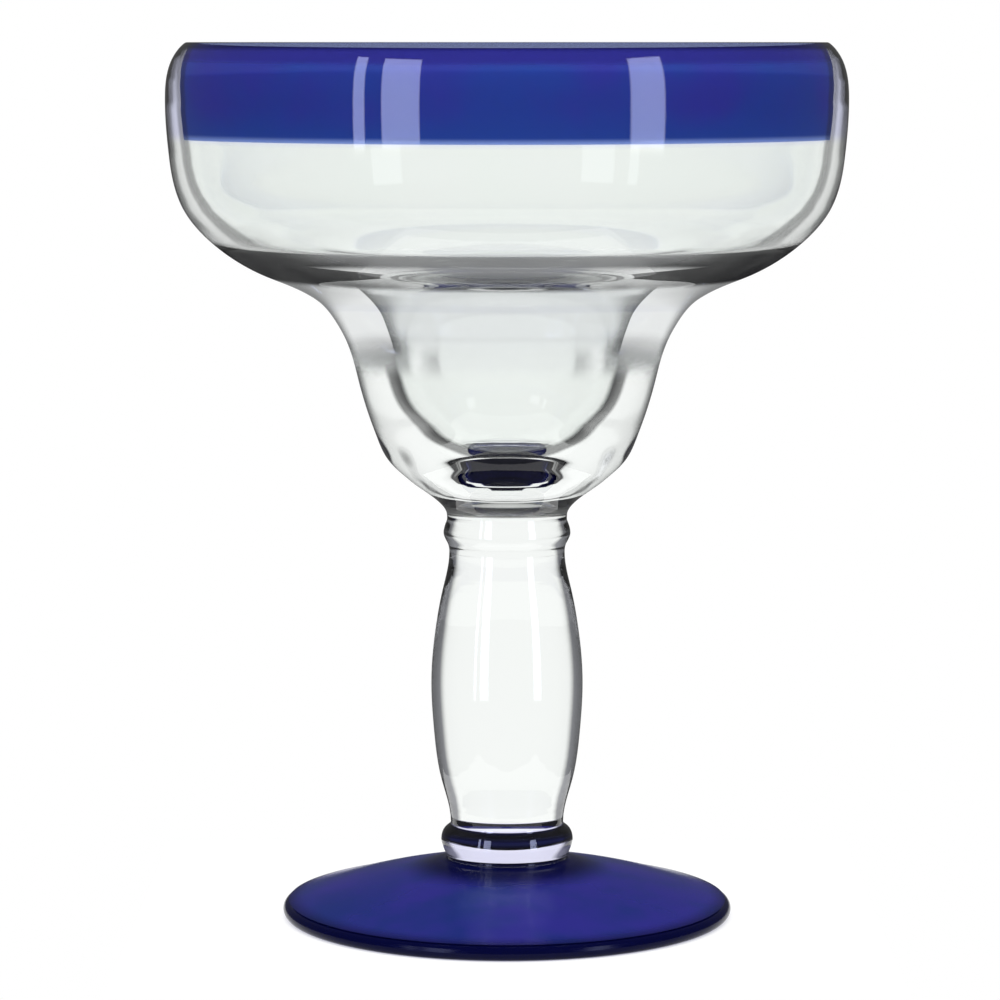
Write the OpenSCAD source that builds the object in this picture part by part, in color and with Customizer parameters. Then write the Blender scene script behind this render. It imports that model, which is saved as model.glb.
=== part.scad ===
// Stemmed cocktail glass: a wide stepped bowl over a thick-walled well, a cobalt
// lining under the rolled-in lip, a solid baluster stem between two beads, and a
// cobalt foot. Every piece is turned about the Z axis, which stands on the table
// at the middle of the foot.

/* [Foot] */
// Diameter of the foot
foot_d = 79; // [70:0.5:88]
// Height of the foot, up to where the lower bead is fused on
foot_h = 10.2; // [8:0.1:13]
// Thickness of the foot's rounded edge
foot_edge_t = 2.5; // [2:0.1:3.5]
// Width of the flat ring that the glass stands on
rest_w = 4; // [2:0.1:6]
// Depth of the hollow inside that ring
hollow_t = 1.6; // [0.6:0.1:2.4]

/* [Lower bead] */
// Diameter of the lower bead
lower_bead_d = 23.2; // [22:0.1:26]
// Height of the lower bead, from the foot to the stem
lower_bead_h = 6.2; // [5:0.1:9]
// Diameter of the neck under the lower bead
foot_neck_d = 21.6; // [18:0.1:21.8]

/* [Stem] */
// Length of the stem, between the two beads
stem_h = 48; // [36:0.5:70]
// Diameter of the stem at its fullest
stem_d = 26.6; // [22:0.1:30]
// Diameter of the stem where it joins the lower bead
stem_foot_d = 19.8; // [16:0.1:21]
// Diameter of the stem where it joins the upper bead
stem_top_d = 20.2; // [16:0.1:21]

/* [Upper bead] */
// Diameter of the upper bead
upper_bead_d = 22.2; // [21.4:0.1:26]
// Height of the upper bead, from the stem to the bowl
upper_bead_h = 6.4; // [5:0.1:9]
// Diameter of the neck under the bowl
neck_d = 21; // [17:0.1:21.2]

/* [Well] */
// Outside diameter of the well where it meets the shoulder of the bowl
well_d = 58; // [52:0.5:64]
// Height of the well outside, from the neck to the shoulder
well_h = 32.7; // [28:0.1:40]
// Inside diameter of the well
well_bore_d = 39.2; // [32:0.1:42]
// Thickness of the solid glass between the neck and the bottom of the well
base_t = 9.5; // [7.5:0.1:13]

/* [Upper bowl] */
// Widest diameter of the bowl
bowl_d = 118; // [106:0.5:130]
// Height of the upper bowl, from the well to the crest of the lip
bowl_h = 49.5; // [42:0.5:58]
// Thickness of the bowl's wall
wall_t = 3; // [2.2:0.1:3.6]
// Thickness of the shoulder, the thick ledge of glass under the bowl's floor
floor_t = 4.7; // [3.8:0.1:5.4]
// How far the outside leans in at the lip from the widest part of the bowl
lip_roll = 3.4; // [2.8:0.1:4.2]
// Thickness of the clear wall where it ends at the lip
lip_t = 1.7; // [0.8:0.1:2.1]

/* [Rim band] */
// Height of the cobalt band, down from the crest of the lip
band_h = 16.2; // [12:0.1:24]
// Thickness of the cobalt lining
band_t = 0.7; // [0.5:0.1:1]
// Gap left between the lining and the wall that it lines
band_fit = 0.1; // [0.05:0.01:0.2]

/* [Hidden] */

// Straight runs in each stretch of a curve, and the turns' smoothness
runs = 6;
$fn = 128;

// Heading of the wall where it ends at the lip, in degrees from straight outwards
lip_lean = 143;
// Heading of the bowl's floor on the shoulder, in the same degrees
floor_lean = 14;

clear_glass = [0.86, 0.93, 0.94, 0.4];
cobalt_glass = [0.15, 0.17, 0.52, 0.85];

// Heights of the seams where one piece is fused to the next
lower_bead_z = foot_h;
stem_z = lower_bead_z + lower_bead_h;
upper_bead_z = stem_z + stem_h;
neck_z = upper_bead_z + upper_bead_h;
shoulder_z = neck_z + well_h;
crest_z = shoulder_z + bowl_h;
band_z = crest_z - band_h;

// Each row of the tables below is a station on an outline: the share of the way
// across, the share of the way up, and the heading there in degrees, where 0
// points away from the axis and 90 straight up. A fourth value is the share of
// the way that the wall has thinned to its thickness at the lip.

// Outside of the well, from the neck (0, 0) to the shoulder (1, 1)
well_outer_shares = [
    [0, 0, 90], [0.08, 0.075, 43], [0.36, 0.195, 41], [0.56, 0.305, 54],
    [0.685, 0.46, 69], [0.85, 0.77, 77]
];

// Outside of the upper bowl, from the shoulder (0, 0) to its widest radius at the
// height of the lip's crest (1, 1)
shoulder_shares = [[0, 0, 60], [0.14, 0.105, 35]];
wall_shares = [
    [0.4, 0.181, 21, 0], [0.72, 0.295, 40, 0], [0.913, 0.437, 65, 0],
    [0.98, 0.606, 84, 0.1], [1, 0.79, 90, 0.3], [0.992, 0.874, 99, 0.49],
    [0.948, 0.953, 121, 0.75]
];

// Inside of the well, from its bottom on the axis (0, 0) to its bore at the
// shoulder (1, 1)
well_inner_shares = [
    [0, 0, 0], [0.61, 0.142, 40], [0.846, 0.397, 60], [1, 0.819, 78]
];
// The inside then rounds out from the bore at the shoulder (0, 0) to the floor of
// the bowl (1, 1)
mouth_shares = [
    [0.091, 0.112, 70], [0.274, 0.472, 42], [0.527, 0.742, 30], [0.832, 0.929, 15]
];

// Stem, from the joint at its foot (0, 0) to its fullest (1) and to its top
stem_lower_shares = [[0, 0, 90], [0.47, 0.156, 75], [0.885, 0.356, 85], [1, 0.515, 90]];
stem_upper_shares = [[0.78, 0.706, 98], [0.32, 0.873, 104], [0, 1, 90]];

// Beads, each from its neck (0) to its fullest (1) and on to the joint above it
upper_bead_lower_shares = [[0, 0, 90], [0.4, 0.27, 62], [1, 0.52, 90]];
upper_bead_upper_shares = [[0.12, 0.84, 112], [0, 1, 90]];
lower_bead_lower_shares = [[0, 0, 90], [0.2, 0.16, 68], [1, 0.5, 90]];
lower_bead_upper_shares = [[0.62, 0.81, 134], [0, 1, 90]];

// Foot, from its edge (0, 0) in and up to the neck (1, 1), above the edge's height
foot_top_shares = [[0.035, 0.03, 166], [0.45, 0.46, 166], [0.945, 0.9, 163], [1, 1, 90]];
// Hollow under the foot, from its middle (0, 1) out to the flat ring (1, 0)
hollow_shares = [[0, 1, 0], [0.6, 0.82, -2], [0.93, 0.4, -14], [1, 0, -40]];

// Point at share t of the way along the curve from station a to station b. The
// curve leaves a and reaches b on their headings.
function curve_point(a, b, t) =
    let (
        reach = norm([b[0] - a[0], b[1] - a[1]]),
        from_a = 2 * t ^ 3 - 3 * t ^ 2 + 1,
        leave = t ^ 3 - 2 * t ^ 2 + t,
        arrive = t ^ 3 - t ^ 2
    )
    [
        for (k = [0, 1])
            from_a * a[k] + (1 - from_a) * b[k]
            + reach * leave * [cos(a[2]), sin(a[2])][k]
            + reach * arrive * [cos(b[2]), sin(b[2])][k]
    ];

// Heading of that curve at the same point
function curve_heading(a, b, t) =
    let (
        reach = norm([b[0] - a[0], b[1] - a[1]]),
        slope = [
            for (k = [0, 1])
                6 * (t ^ 2 - t) * (a[k] - b[k])
                + reach * (3 * t ^ 2 - 4 * t + 1) * [cos(a[2]), sin(a[2])][k]
                + reach * (3 * t ^ 2 - 2 * t) * [cos(b[2]), sin(b[2])][k]
        ]
    )
    atan2(slope[1], slope[0]);

// Points of the smooth outline through all the stations
function outline(stations) = [
    for (i = [0 : len(stations) - 2])
        for (k = [i == 0 ? 0 : 1 : runs])
            curve_point(stations[i], stations[i + 1], k / runs)
];

// Points of the same outline moved to its left by the thickness in each station's
// fourth value, which turns the outside of a wall into its inside
function inside(stations, extra = 0) = [
    for (i = [0 : len(stations) - 2])
        for (k = [i == 0 ? 0 : 1 : runs])
            let (
                a = stations[i],
                b = stations[i + 1],
                t = k / runs,
                turn = curve_heading(a, b, t),
                depth = a[3] + (b[3] - a[3]) * t + extra
            )
            curve_point(a, b, t) + depth * [-sin(turn), cos(turn)]
];

// Station on the inside of a wall, straight across from one on its outside
function across(station, thickness, heading) = [
    station[0] - thickness * sin(station[2]),
    station[1] + thickness * cos(station[2]),
    heading
];

// The part of a rising outline above height z, which starts at z itself
function above(points, z) = concat(
    [[lookup(z, [for (p = points) [p[1], p[0]]]), z]],
    [for (p = points) if (p[1] > z) p]
);

// Half turn over the tip of a wall, from its outside to its inside. The outside
// ends at a station on its heading, and the wall is as thick as given there.
function tip(end, thickness) = [
    for (k = [1 : 2 * runs - 1])
        let (turn = end[2] - 90 + 90 * k / runs)
            [end[0], end[1]]
            + thickness / 2 * [-sin(end[2]), cos(end[2])]
            + thickness / 2 * [cos(turn), sin(turn)]
];

function reversed(points) = [for (i = [len(points) - 1 : -1 : 0]) points[i]];

// A list without its first entry
function after_first(list) = [for (i = [1 : len(list) - 1]) list[i]];

// Two outlines as one, where the second starts at the point where the first ends
function joined(first, second) = concat(first, after_first(second));

// Stations between two radii and two heights, placed by a table of shares
function placed(shares, r0, r1, z0, z1) = [
    for (s = shares) [r0 + (r1 - r0) * s[0], z0 + (z1 - z0) * s[1], s[2]]
];

module turned(points) {
    rotate_extrude()
        polygon(points);
}

// Piece whose outline rises from z0 to z1 and whose two ends are flat
module turned_between(points, z0, z1) {
    turned(concat([[0, z0]], points, [[0, z1]]));
}

// Outside of the upper bowl's wall, from the ledge of the shoulder to the lip
bowl_wall = concat(
    [
        for (s = wall_shares)
            [
                well_d / 2 + (bowl_d - well_d) / 2 * s[0],
                shoulder_z + bowl_h * s[1],
                s[2],
                wall_t + (lip_t - wall_t) * s[3]
            ]
    ],
    [[bowl_d / 2 - lip_roll, crest_z - lip_t / 2 * (1 + cos(lip_lean)), lip_lean, lip_t]]
);

// Inside of the bowl, from the bottom of the well over the floor to the wall
bowl_floor = across(bowl_wall[0], floor_t, floor_lean);
bowl_well = outline(concat(
    placed(well_inner_shares, 0, well_bore_d / 2, neck_z + base_t, shoulder_z),
    placed(mouth_shares, well_bore_d / 2, bowl_floor[0], shoulder_z, bowl_floor[1]),
    [bowl_floor, across(bowl_wall[1], bowl_wall[1][3], bowl_wall[1][2])]
));

module bowl() {
    outer = outline(concat(
        placed(well_outer_shares, neck_d / 2, well_d / 2, neck_z, shoulder_z),
        placed(shoulder_shares, well_d / 2, bowl_d / 2, shoulder_z, crest_z),
        bowl_wall
    ));
    lip = tip(bowl_wall[len(bowl_wall) - 1], lip_t);
    inner = joined(bowl_well, inside(after_first(bowl_wall)));
    color(clear_glass)
        turned(concat([[0, neck_z]], outer, lip, reversed(inner)));
}

// The lining follows the inside of the wall from the band's lower edge up and over
// behind the lip
module rim_band() {
    face = above(inside(bowl_wall, band_fit), band_z);
    back = above(inside(bowl_wall, band_fit + band_t), band_z);
    edge = tip(concat(face[len(face) - 1], lip_lean), band_t);
    color(cobalt_glass)
        turned(concat(face, edge, reversed(back)));
}

module upper_bead() {
    r0 = neck_d / 2;
    r1 = upper_bead_d / 2;
    color(clear_glass)
        turned_between(outline(concat(
            placed(upper_bead_lower_shares, stem_top_d / 2, r1, upper_bead_z, neck_z),
            placed(upper_bead_upper_shares, r0, r1, upper_bead_z, neck_z)
        )), upper_bead_z, neck_z);
}

module stem() {
    color(clear_glass)
        turned_between(outline(concat(
            placed(stem_lower_shares, stem_foot_d / 2, stem_d / 2, stem_z, upper_bead_z),
            placed(stem_upper_shares, stem_top_d / 2, stem_d / 2, stem_z, upper_bead_z)
        )), stem_z, upper_bead_z);
}

module lower_bead() {
    r1 = lower_bead_d / 2;
    color(clear_glass)
        turned_between(outline(concat(
            placed(lower_bead_lower_shares, foot_neck_d / 2, r1, lower_bead_z, stem_z),
            placed(lower_bead_upper_shares, stem_foot_d / 2, r1, lower_bead_z, stem_z)
        )), lower_bead_z, stem_z);
}

module foot() {
    rest_r = foot_d / 2 - foot_edge_t / 2;
    hollow = outline(placed(hollow_shares, 0, rest_r - rest_w, 0, hollow_t));
    edge = [
        for (k = [0 : 2 * runs])
            [rest_r, foot_edge_t / 2]
            + foot_edge_t / 2 * [cos(90 * k / runs - 90), sin(90 * k / runs - 90)]
    ];
    top = outline(placed(foot_top_shares, foot_d / 2, foot_neck_d / 2, foot_edge_t, foot_h));
    color(cobalt_glass)
        turned(concat(hollow, edge, top, [[0, foot_h]]));
}

bowl();
rim_band();
upper_bead();
stem();
lower_bead();
foot();
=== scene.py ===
import math

import bmesh
import bpy
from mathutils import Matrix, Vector


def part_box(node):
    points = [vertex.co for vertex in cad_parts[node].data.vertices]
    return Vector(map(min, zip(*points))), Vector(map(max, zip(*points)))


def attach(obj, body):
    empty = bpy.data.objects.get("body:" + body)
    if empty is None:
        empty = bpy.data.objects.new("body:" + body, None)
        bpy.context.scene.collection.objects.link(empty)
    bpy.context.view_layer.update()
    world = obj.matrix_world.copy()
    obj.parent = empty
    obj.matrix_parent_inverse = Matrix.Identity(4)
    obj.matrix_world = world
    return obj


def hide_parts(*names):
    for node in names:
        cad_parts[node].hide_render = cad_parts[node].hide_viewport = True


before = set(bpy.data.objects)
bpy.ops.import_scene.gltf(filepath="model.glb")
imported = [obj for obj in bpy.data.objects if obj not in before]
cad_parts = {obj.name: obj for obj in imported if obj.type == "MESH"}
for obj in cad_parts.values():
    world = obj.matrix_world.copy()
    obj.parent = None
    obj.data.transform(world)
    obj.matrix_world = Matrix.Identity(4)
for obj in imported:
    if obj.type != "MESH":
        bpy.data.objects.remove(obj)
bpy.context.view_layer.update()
scene = bpy.context.scene


# Studio: a pale tabletop and an open white background. The glass bends its view far
# round to the sides, so its edges come partly from the grey walls that stand left and right of
# the white backdrop and partly from painted shade on the glass, and the bright bars on its
# rim from tall lamps beside the camera.
class Wire:
    """A socket of a node tree. Arithmetic on it adds Math nodes, | takes the larger of two
    values, and node() adds any other node."""

    def __init__(self, tree, socket=None):
        self.tree = tree
        self.socket = socket

    def node(self, kind, settings=None, sockets=None, out=0):
        """A new node with these settings and socket values or wires, as its output's wire."""
        made = self.tree.nodes.new(kind)
        for name, value in (settings or {}).items():
            setattr(made, name, value)
        for name, value in (sockets or {}).items():
            if isinstance(value, Wire):
                self.tree.links.new(value.socket, made.inputs[name])
            else:
                made.inputs[name].default_value = value
        return Wire(self.tree, made.outputs[out] if len(made.outputs) else None)

    def outputs(self, kind, names, sockets=None):
        """A new node, as the wires of its outputs with these names."""
        made = self.node(kind, sockets=sockets).socket.node
        return [Wire(self.tree, made.outputs[name]) for name in names]

    def maths(self, operation, *others):
        values = dict(enumerate((self,) + others))
        return self.node("ShaderNodeMath", {"operation": operation}, values)

    def __add__(self, other):
        return self.maths("ADD", other)

    def __sub__(self, other):
        return self.maths("SUBTRACT", other)

    def __rsub__(self, other):
        return self.node("ShaderNodeMath", {"operation": "SUBTRACT"}, {0: other, 1: self})

    def __mul__(self, other):
        return self.maths("MULTIPLY", other)

    def __abs__(self):
        return self.maths("ABSOLUTE")

    def __lt__(self, other):
        return self.maths("LESS_THAN", other)

    def __gt__(self, other):
        return self.maths("GREATER_THAN", other)

    def __or__(self, other):
        return self.maths("MAXIMUM", other)

    def rising(self, low, high):
        """0 up to low and 1 from high on, with a smooth rise. High may be the smaller one."""
        return self.node(
            "ShaderNodeMapRange",
            {"interpolation_type": "SMOOTHSTEP"},
            {"Value": self, "From Min": low, "From Max": high},
        )

    def between(self, low, high, soft):
        """1 from low to high, which falls to 0 over a soft margin on either side."""
        return self.rising(low - soft, low) * self.rising(high + soft, high)

    __radd__ = __add__
    __rmul__ = __mul__


def fresh_tree(owner):
    owner.use_nodes = True
    owner.node_tree.nodes.clear()
    return Wire(owner.node_tree)


def blend(tree, share, first, second):
    """Mix of two colours, each four numbers or a wire, by a share that is a wire."""
    sockets = {0: share, 6: first, 7: second}
    return tree.node("ShaderNodeMix", {"data_type": "RGBA"}, sockets, out=2)


def dimmed(share, mask):
    """What is left of a light where a mask takes this share of it."""
    return 1 - share * mask


world = bpy.data.worlds.new("studio")
scene.world = world
studio = fresh_tree(world)
direction = studio.node("ShaderNodeTexCoord", out="Generated")
across, along, up = studio.outputs("ShaderNodeSeparateXYZ", "XYZ", {"Vector": direction})
in_front = along < 0
# Degrees from the backdrop's middle or from the camera, whichever is nearer
off_axis = abs(across).maths("ARCTAN2", abs(along)) * math.degrees(1)
# Degrees that an upright wall is turned to the right when it mirrors this to the front
facing = across.maths("ARCTAN2", 1 - along) * math.degrees(1)
height = up.maths("ARCSINE") * math.degrees(1)
# The room round the backdrop, and the lamps, each from one angle to another in degrees
walls = off_axis.rising(40, 64)
ceiling = height.rising(36, 52)
pit = height.rising(-38, -60)
wide_lamp = facing.between(-20.5, -14.5, 0.4)
slim_lamp = facing.between(-25.6, -24, 0.4)
right_lamp = facing.between(20.8, 26.2, 0.6)
lamps = (wide_lamp + slim_lamp + right_lamp) * height.between(-9, 50, 3) * in_front
seen, bent, glossy, turns, walls_passed = studio.outputs(
    "ShaderNodeLightPath",
    ("Is Camera Ray", "Is Transmission Ray", "Is Glossy Ray", "Glossy Depth", "Transmission Depth"),
)
# Light that an outer face mirrors, and light that was thrown back inside the glass
mirrored = glossy * (1 - bent)
inner = (turns > 0.5) * (1 - mirrored)
# How bright the room is straight through the glass, and after a turn inside it
through = dimmed(0.4, walls) * dimmed(0.6, ceiling) * dimmed(0.6, pit)
echoed = dimmed(0.75, walls) * dimmed(0.8, ceiling) * dimmed(0.75, in_front)
lamps = lamps * dimmed(0.8, walls_passed > 0.5) * mirrored
LAMP_POWER = 8
MIRRORED_ROOM = 0.1
room = through * (1 - inner) * (1 - mirrored) + echoed * inner
room = room + MIRRORED_ROOM * mirrored + LAMP_POWER * lamps
strength = seen + (1 - seen) * room
glow = blend(studio, lamps, (1, 1, 1, 1), (0.62, 0.68, 1, 1))
backdrop = studio.node("ShaderNodeBackground", sockets={"Color": glow, "Strength": strength})
studio.node("ShaderNodeOutputWorld", sockets={"Surface": backdrop})

tabletop = bpy.data.materials.new("tabletop")
top = fresh_tree(tabletop)
place = top.node("ShaderNodeTexCoord", out="Object")
spread = top.node("ShaderNodeVectorMath", {"operation": "LENGTH"}, {0: place}, out="Value")
seen, mirrored, bent = top.outputs(
    "ShaderNodeLightPath", ("Is Camera Ray", "Is Glossy Ray", "Is Transmission Ray")
)
viewed = (seen + mirrored + bent).maths("MINIMUM", 1)
# The table glows white in the open, and under the foot its glow is turned down into a painted
# shadow
glow_with_painted_shadow = viewed * (0.2 + 0.68 * spread.rising(0.038, 0.0405))
paint = top.node("ShaderNodeBsdfDiffuse", sockets={"Color": (0.88, 0.88, 0.88, 1)})
shine = top.node("ShaderNodeEmission", sockets={"Color": (1, 1, 1, 1)})
lit = top.node("ShaderNodeMixShader", sockets={0: glow_with_painted_shadow, 1: paint, 2: shine})
top.node("ShaderNodeOutputMaterial", sockets={"Surface": lit})
REACH = 0.065
DROP = -5e-5
corners = [(REACH * x, REACH * y, DROP) for x, y in ((-1, -1), (1, -1), (1, 1), (-1, 1))]
floor_mesh = bpy.data.meshes.new("tabletop")
floor_mesh.from_pydata(corners, [], [(0, 1, 2, 3)])
floor_mesh.materials.append(tabletop)
floor = bpy.data.objects.new("tabletop", floor_mesh)
scene.collection.objects.link(floor)

AIM = Vector((0, 0, 0.08))
for name, place, size, power in (
    ("lamp_left", (-0.9, -0.9, 1.0), 0.7, 14),
    ("lamp_right", (0.9, -0.9, 1.0), 0.7, 14),
    ("lamp_top", (0, 0.2, 1.6), 1.2, 18),
):
    light = bpy.data.lights.new(name, "AREA")
    light.size = size
    light.energy = power
    lamp = bpy.data.objects.new(name, light)
    lamp.location = place
    lamp.rotation_euler = (AIM - lamp.location).to_track_quat("-Z", "Y").to_euler()
    lamp.visible_glossy = lamp.visible_transmission = False
    scene.collection.objects.link(lamp)

# The photograph's view: level with the lip and tilted down to the middle of the glass
lens = bpy.data.cameras.new("camera")
lens.lens = 145.9
lens.sensor_width = 36
lens.shift_x = -0.007
lens.clip_end = 200
camera = bpy.data.objects.new("camera", lens)
TILT = math.radians(6.42)
camera.location = (0, -0.7046, 0.1527)
camera.rotation_euler = (math.pi / 2 - TILT, 0, 0)
scene.collection.objects.link(camera)
scene.camera = camera
scene.view_settings.view_transform = "Standard"


# Bowl: clear glass, blown, with a lip that is rolled in and polished in the flame, a
# shoulder and a thick-walled well. It is turned about the stem's axis, and its base is
# fused to the upper bead, so no surface shows where the two meet.
SIDES = 240
# Metres within which two places are the same, and from the axis to the lathe's ring
SEAM = 1e-5
AXLE = 0.01
# Turns of an outline below CURVE belong to a smooth curve, and edges above CREASE show
CURVE = math.radians(16)
CREASE = math.radians(25)


def corners_of(node):
    """Radius and height of each corner of a turned solid's outline, in order along it, and
    whether the outline closes on itself away from the axis."""
    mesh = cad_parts[node].data
    spots = [tuple(round(c, 7) for c in v.co) for v in mesh.vertices]
    beside = {}
    for face in mesh.polygons:
        ring = [spots[i] for i in face.vertices]
        for a, b in zip(ring, ring[1:] + ring[:1]):
            if a != b and max(abs(a[1]), abs(b[1])) < SEAM and min(a[0], b[0]) > -SEAM:
                beside.setdefault(a, set()).add(b)
                beside.setdefault(b, set()).add(a)
    ends = [spot for spot in beside if len(beside[spot]) == 1]
    walk = [min(ends or beside, key=lambda spot: spot[2])]
    while True:
        onward = [spot for spot in beside[walk[-1]] if spot not in walk]
        if not onward:
            return [(spot[0], spot[2]) for spot in walk], not ends
        walk.append(onward[0])


def rounded(corners, closed):
    """The outline with a point added in each run, on the curve through its gentle corners."""
    count = len(corners)
    spots = [Vector(c) for c in corners]

    def slope(i):
        if not closed and i in (0, count - 1):
            return None
        before = spots[i] - spots[i - 1]
        after = spots[(i + 1) % count] - spots[i]
        if before.angle(after) > CURVE:
            return None
        return before / before.length * after.length + after / after.length * before.length

    outline = []
    for i in range(count if closed else count - 1):
        a, b = spots[i], spots[(i + 1) % count]
        chord = b - a
        leave, arrive = slope(i), slope((i + 1) % count)
        leave = chord if leave is None else leave / leave.length * chord.length
        arrive = chord if arrive is None else arrive / arrive.length * chord.length
        outline += [a] if a.y == b.y else [a, (a + b) / 2 + (leave - arrive) / 8]
    return outline if closed else outline + [spots[-1]]


def lathe():
    """A tree that carries an outline round the axis. The outline stands off the axle's radius."""
    tree = bpy.data.node_groups.new("lathe", "GeometryNodeTree")
    for name, way, kind in (
        ("Outline", "INPUT", "NodeSocketGeometry"),
        ("Sides", "INPUT", "NodeSocketInt"),
        ("Axle", "INPUT", "NodeSocketFloat"),
        ("Glass", "INPUT", "NodeSocketMaterial"),
        ("Solid", "OUTPUT", "NodeSocketGeometry"),
    ):
        tree.interface.new_socket(name, in_out=way, socket_type=kind)
    bench = Wire(tree)
    outline, sides, axle, finish = bench.outputs(
        "NodeGroupInput", ("Outline", "Sides", "Axle", "Glass")
    )

    def step(kind, sockets):
        return bench.node("GeometryNode" + kind, sockets=sockets)

    path = step("CurvePrimitiveCircle", {"Resolution": sides, "Radius": axle})
    profile = step("MeshToCurve", {"Mesh": outline})
    skin = step("CurveToMesh", {"Curve": path, "Profile Curve": profile})
    closed = step("MergeByDistance", {"Geometry": skin, "Distance": 1e-7})
    real = step("RealizeInstances", {"Geometry": closed})
    glazed = step("SetMaterial", {"Geometry": real, "Material": finish})
    bench.node("NodeGroupOutput", sockets={"Solid": glazed})
    return tree


LATHE = lathe()


def turned(name, finish, node):
    """A piece turned from the outline of the solid it stands for, closed and facing outwards."""
    corners, closed = corners_of(node)
    outline = rounded(corners, closed)
    last = len(outline) - 1
    runs = [(i, i + 1) for i in range(last)] + [(last, 0)] * closed
    drawn = bpy.data.meshes.new(name)
    drawn.from_pydata([(radius - AXLE, -height, 0) for radius, height in outline], runs, [])
    blank = bpy.data.objects.new(name + "_outline", drawn)
    scene.collection.objects.link(blank)
    turning = blank.modifiers.new("lathe", "NODES")
    turning.node_group = LATHE
    for label, value in (("Sides", SIDES), ("Axle", AXLE), ("Glass", finish)):
        turning[LATHE.interface.items_tree[label].identifier] = value
    carried = blank.evaluated_get(bpy.context.evaluated_depsgraph_get())
    solid = bpy.data.meshes.new_from_object(carried)
    bpy.data.objects.remove(blank)
    shape = bmesh.new()
    shape.from_mesh(solid)
    bmesh.ops.recalc_face_normals(shape, faces=shape.faces)
    for edge in shape.edges:
        edge.smooth = edge.is_manifold and edge.calc_face_angle() < CREASE
    for face in shape.faces:
        face.smooth = True
    shape.to_mesh(solid)
    shape.free()
    piece = bpy.data.objects.new(name, solid)
    scene.collection.objects.link(piece)
    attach(piece, "root")
    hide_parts(node)


def slant(melt):
    """0 where the surface is seen squarely and 1 where it is seen edge on."""
    return melt.node("ShaderNodeLayerWeight", sockets={"Blend": 0.5}, out="Facing")


def from_inside(melt):
    """1 where light meets the surface from inside the glass."""
    return melt.node("ShaderNodeNewGeometry", out="Backfacing")


def noise(melt, place, scale, detail):
    sockets = {"Vector": place, "Scale": scale, "Detail": detail}
    return melt.node("ShaderNodeTexNoise", sockets=sockets, out="Fac")


def glass(
    name, seams, tint, clarity=1, shadow=(0.93, 0.94, 0.94, 1), line=None, thin=None,
    painted_grey=None, ior=1.5, rough=0, gloss=0.5,
):
    """Polished glass with no surface at its seams. tint() gives its colour from the place on
    it, and clarity the share of light that it lets through. thin(), smoke() and line() give
    where it shows what is straight behind it, and where painted shade greys it and where it darkens
    it."""
    finish = bpy.data.materials.new(name)
    melt = fresh_tree(finish)
    place = melt.node("ShaderNodeTexCoord", out="Object")
    x, y, z = melt.outputs("ShaderNodeSeparateXYZ", "XYZ", {"Vector": place})
    radius = (x * x + y * y).maths("POWER", 0.5)
    fused = melt.node("ShaderNodeLightPath", out="Is Shadow Ray")
    for seam in seams:
        fused = fused | (abs(z - seam) < SEAM)
    waves = noise(melt, place, 70, 1)
    tilt = melt.node("ShaderNodeBump", sockets={"Strength": 1, "Distance": 2e-5, "Height": waves})
    body = melt.node(
        "ShaderNodeBsdfPrincipled",
        sockets={
            "Base Color": tint(melt, place, radius, z),
            "Normal": tilt,
            "Roughness": rough,
            "IOR": ior,
            "Specular IOR Level": gloss,
            "Transmission Weight": clarity,
        },
    )
    open_air = melt.node("ShaderNodeBsdfTransparent", sockets={"Color": shadow})
    # The grey and the near-black diffuse mixed in below are painted shade
    for zone, kind, shade in (
        (thin, "ShaderNodeBsdfTransparent", shadow),
        (painted_grey, "ShaderNodeBsdfDiffuse", (0.4, 0.41, 0.41, 1)),
        (line, "ShaderNodeBsdfDiffuse", (0.01, 0.01, 0.012, 1)),
    ):
        if zone:
            share = zone(melt, place, radius, z)
            other = melt.node(kind, sockets={"Color": shade})
            body = melt.node("ShaderNodeMixShader", sockets={0: share, 1: body, 2: other})
    surface = melt.node("ShaderNodeMixShader", sockets={0: fused, 1: body, 2: open_air})
    melt.node("ShaderNodeOutputMaterial", sockets={"Surface": surface})
    return finish


def clear(low, high, depth, soft=0, lip=None, tint=(0.965, 1, 0.975, 1)):
    """Tint of clear glass, which painted shade darkens through its edges, from one slant to
    another.
    With the height of a lip given, the lip and the band's stretch of wall below it show some
    of the cobalt that lines them."""

    def colour(melt, place, radius, z):
        cords = noise(melt, place, 55, 2)
        paler = tuple((1 + part) / 2 for part in tint)
        pale = blend(melt, cords, tint, paler)
        if lip:
            lilac, deep_blue = (0.78, 0.8, 1, 1), (0.03, 0.04, 0.14, 1)
            lined = z.rising(lip - 0.0172, lip - 0.0155)
            rolled = z.rising(lip - 0.0017, lip - 0.0008)
            pale = blend(melt, rolled, blend(melt, lined, pale, lilac), deep_blue)
        # Painted shade: the tint turns near black where the glass is seen edge on
        painted_edge_black = (0, 0, 0.02, 1)
        edge = slant(melt)
        edge = edge.rising(low, high) * depth + edge.rising(low - 0.14, low - 0.02) * soft
        return blend(melt, edge, pale, painted_edge_black)

    return colour


# Radius less twice the height, in metres: more than this is under the bowl's floor, and
# less is on top of it
FLOOR_CONE = -0.189


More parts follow.
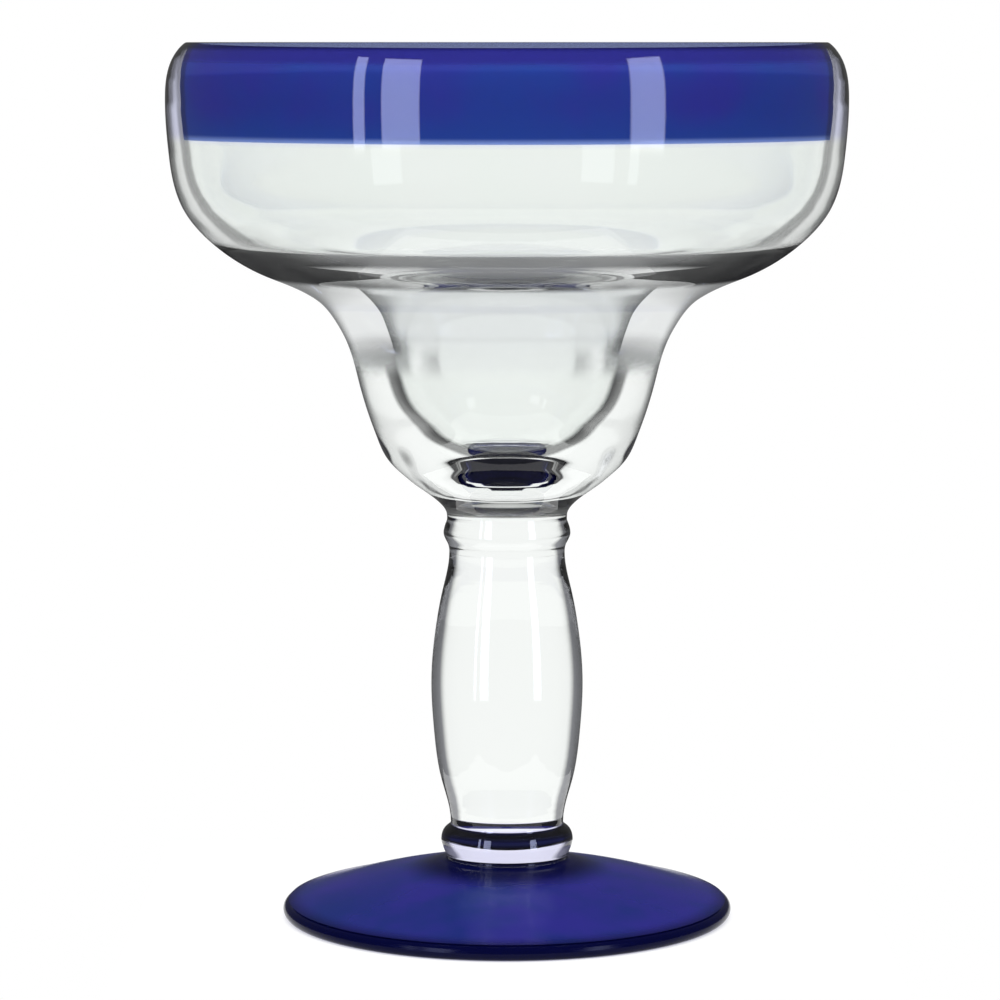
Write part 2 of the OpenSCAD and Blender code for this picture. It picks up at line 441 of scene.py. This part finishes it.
def painted_wall_and_floor_shade(melt, place, radius, z):
    """Painted shade: dark lines on the inner wall, on the well and on the ledge of glass between
    them, and a dark band in the bend and under the slope, mottled by noise.
    """
    inside = from_inside(melt)
    edge = slant(melt)
    # Each zone is a range of slants, a range of heights in metres and a strength
    wall = edge.between(0.249, 0.259, 0.006) * z.rising(0.119, 0.122) * 0.5
    well = edge.between(0.255, 0.3, 0.03) * z.rising(0.1005, 0.0965) * 0.65
    ledge = edge.rising(0.55, 0.75) * z.between(0.1, 0.1095, 0.002) * 0.55
    ledge = ledge * radius.rising(0.026, 0.025)
    bend = edge.rising(0.7, 0.92) * z.between(0.1, 0.1135, 0.002) * 0.45
    under = z.between(0.113, 0.1174, 0.0012) * (0.07 + 0.7 * edge.rising(0.52, 0.8))
    # Noise mottles the painted shade
    shade_mottle = noise(melt, place, 60, 2).rising(0.35, 0.65)
    under = under * (0.7 + 0.45 * shade_mottle) * (radius - 2 * z > FLOOR_CONE)
    return inside * (wall | well | ledge) | bend | (1 - inside) * under


def painted_grey_floor(melt, place, radius, z):
    """Painted grey shade on the thick floor where its slope is seen squarely, mottled by noise."""
    below = (1 - from_inside(melt)) * (radius - 2 * z > FLOOR_CONE)
    square_on = slant(melt).rising(0.66, 0.45)
    shade_mottle = noise(melt, place, 60, 2)
    return below * z.between(0.1126, 0.1183, 0.0009) * square_on * (0.6 + 0.3 * shade_mottle)


# Slant past which light inside the glass can't leave it
THROWN_BACK = 0.2545
# Radius between the two faces of the upper wall, and how it leans in towards the lip
MID_WALL = 0.058
LEAN_Z = 0.1485
LEAN = 0.9
band_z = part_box("rim_band")[0].z


def thin_places(melt, place, radius, z):
    """Where the wall shows what is straight behind it: in the bend under the slope, and at
    the rim, where the lining is fused to its inner face."""
    bend = z.rising(0.0955, 0.1025) * z.rising(0.1131, 0.1118) * 0.93
    inner_face = radius + LEAN * (z - LEAN_Z | 0) < MID_WALL
    lined = from_inside(melt) * (slant(melt) < THROWN_BACK) * (z > band_z)
    return bend | lined * inner_face


neck_z, lip_z = (corner.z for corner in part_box("bowl"))
turned(
    "bowl_glass",
    glass(
        "clear_bowl", [neck_z], clear(0.9, 0.95, depth=0.25, soft=0.08, lip=lip_z),
        line=painted_wall_and_floor_shade, thin=thin_places, painted_grey=painted_grey_floor,
    ),
    "bowl",
)


# Rim band: a thin cobalt lining that is fused to the inside of the wall, from the band's
# lower edge up and over behind the lip. Seen nearly edge on, the wall's inner face still
# mirrors the room, so the wall shows as a clear strip at either side of the band.
def lining(melt, place, radius, z):
    violet, blue = (0.055, 0.06, 0.36, 1), (0.034, 0.084, 0.36, 1)
    deep, bright, thin_end = (0.035, 0.033, 0.26, 1), (0.035, 0.1, 0.38, 1), (0.45, 0.6, 0.85, 1)
    streaks = noise(melt, place, 60, 3).rising(0.3, 0.7)
    cobalt = blend(melt, streaks, violet, blue)
    cobalt = blend(melt, z.rising(LEAN_Z, LEAN_Z + 0.0013), cobalt, deep)
    cobalt = blend(melt, z.rising(band_z + 0.006, band_z), cobalt, bright)
    return blend(melt, z.rising(band_z + 0.0011, band_z), cobalt, thin_end)


turned(
    "rim_lining",
    glass("rim_cobalt", [], lining, clarity=0.55, shadow=(0.3, 0.3, 0.7, 1), ior=1.12),
    "rim_band",
)


# Stem: a solid clear baluster, shaped while hot, between two small beads of the same
# glass. Each is fused to the next piece, so only the waists show where one ends.
foot_z, waist_z, crown_z = (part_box(node)[0].z for node in ("lower_bead", "stem", "upper_bead"))
# Slants between which painted shade darkens the solid glass at its edges, and how far
EDGES = (0.42, 0.56, 0.9)
turned(
    "upper_bead_glass",
    glass("clear_upper_bead", [crown_z, neck_z], clear(*EDGES)),
    "upper_bead",
)
turned("stem_glass", glass("clear_stem", [waist_z, crown_z], clear(*EDGES)), "stem")
lilac = clear(*EDGES, tint=(0.72, 0.72, 0.97, 1))
turned(
    "lower_bead_glass",
    glass("clear_lower_bead", [foot_z, waist_z], lilac, rough=0.05),
    "lower_bead",
)


# Foot: a cobalt disc, pressed and spun out flat, hollow underneath so that the glass
# stands on a narrow ring. Its middle is fused to the lower bead.
def disc(melt, place, radius, z):
    blue, violet = (0.01, 0.022, 0.15, 1), (0.022, 0.02, 0.2, 1)
    painted_shade_navy, painted_shade_black = (0.001, 0.0015, 0.025, 1), (0.004, 0.004, 0.006, 1)
    clouds = noise(melt, place, 90, 6).rising(0.32, 0.68)
    cobalt = blend(melt, clouds, blue, violet)
    # Painted shade: navy near the neck, where the lower bead darkens the foot
    cobalt = blend(melt, radius.rising(0.0195, 0.0125) * 0.94, cobalt, painted_shade_navy)
    # Painted shade: navy round the rim's lower edge, where one looks into the thick glass
    cobalt = blend(melt, z.rising(0.0036, 0.0023), cobalt, painted_shade_navy)
    # Painted shade: black on the hollow underneath where it is seen from inside the glass
    hollow = from_inside(melt) * radius.rising(0.034, 0.03)
    return blend(melt, hollow, cobalt, painted_shade_black)


turned(
    "foot_glass",
    glass(
        "foot_cobalt", [foot_z], disc, clarity=0.3, shadow=(0.35, 0.35, 0.5, 1),
        ior=1.2, rough=0.17, gloss=0.4,
    ),
    "foot",
)
